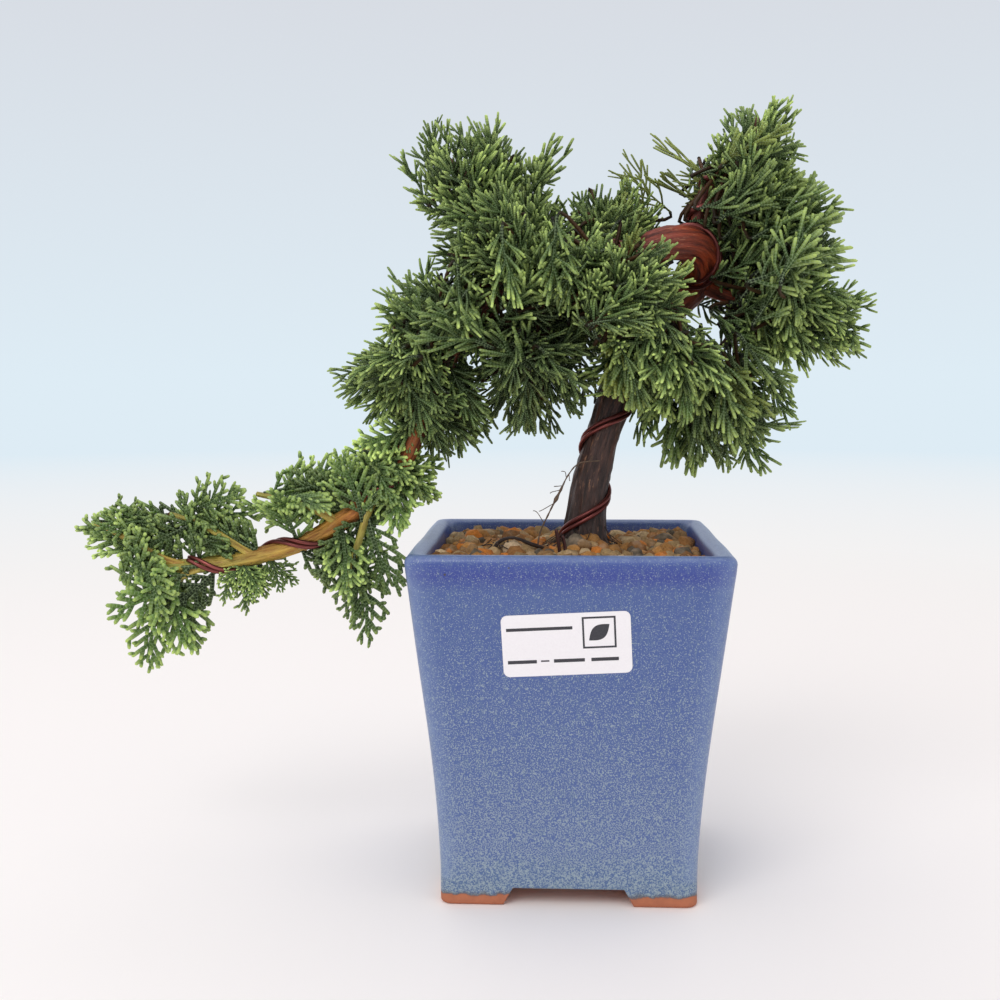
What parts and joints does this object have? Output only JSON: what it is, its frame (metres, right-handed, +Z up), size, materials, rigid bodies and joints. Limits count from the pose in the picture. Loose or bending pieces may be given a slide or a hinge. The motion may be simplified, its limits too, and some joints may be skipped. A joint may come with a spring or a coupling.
{
  "type": "bonsai tree in a pot",
  "caption": "Wired juniper bonsai of half-cascade shape in a tall square blue-glazed pot with four feet, granular soil and a plain paper label.",
  "frame": {"origin": "middle of the whole object's box, on the surface it stands on", "axes": "+Z up, +X to the right seen from the pot's labelled front, +Y from the front to the back; the cascade reaches towards -X"},
  "size_m": [0.2716, 0.103, 0.264],
  "materials": {
    "glaze": "gloss",
    "grains": "matte",
    "bark": "matte",
    "leaves": "matte",
    "copper_wire": "satin",
    "paper_label": "matte",
    "dry_fibre": "matte",
    "black_plastic": "matte"
  },
  "bodies": {
    "root": {"pot": "glaze", "soil": "grains", "trunk_and_branches": "bark", "training_wire_a": "copper_wire", "training_wire_b": "copper_wire", "branch_wire": "copper_wire", "anchor_wire": "copper_wire", "mesh_clip": "copper_wire", "drain_mesh": "black_plastic", "label": "paper_label", "dry_rootlet": "dry_fibre", "foliage_crown_left": "leaves", "foliage_shoulder_left": "leaves", "foliage_shoulder_back": "leaves", "foliage_flank_left": "leaves", "foliage_flank_low": "leaves", "foliage_flank_under": "leaves", "foliage_centre_front": "leaves", "foliage_centre_low": "leaves", "foliage_centre_back": "leaves", "foliage_middle_front": "leaves", "foliage_middle_low": "leaves", "foliage_top_middle": "leaves", "foliage_old_twigs": "leaves", "foliage_crown_right": "leaves", "foliage_right_upper": "leaves", "foliage_right_outer": "leaves", "foliage_right_middle": "leaves", "foliage_right_low": "leaves", "foliage_right_back": "leaves", "foliage_bend_tuft": "leaves", "foliage_hanging_spray": "leaves", "foliage_upper_spray": "leaves", "foliage_ridge_spray": "leaves", "foliage_tip_spray": "leaves", "foliage_drop_spray": "leaves", "foliage_under_spray": "leaves"}
  },
  "joints": []
}
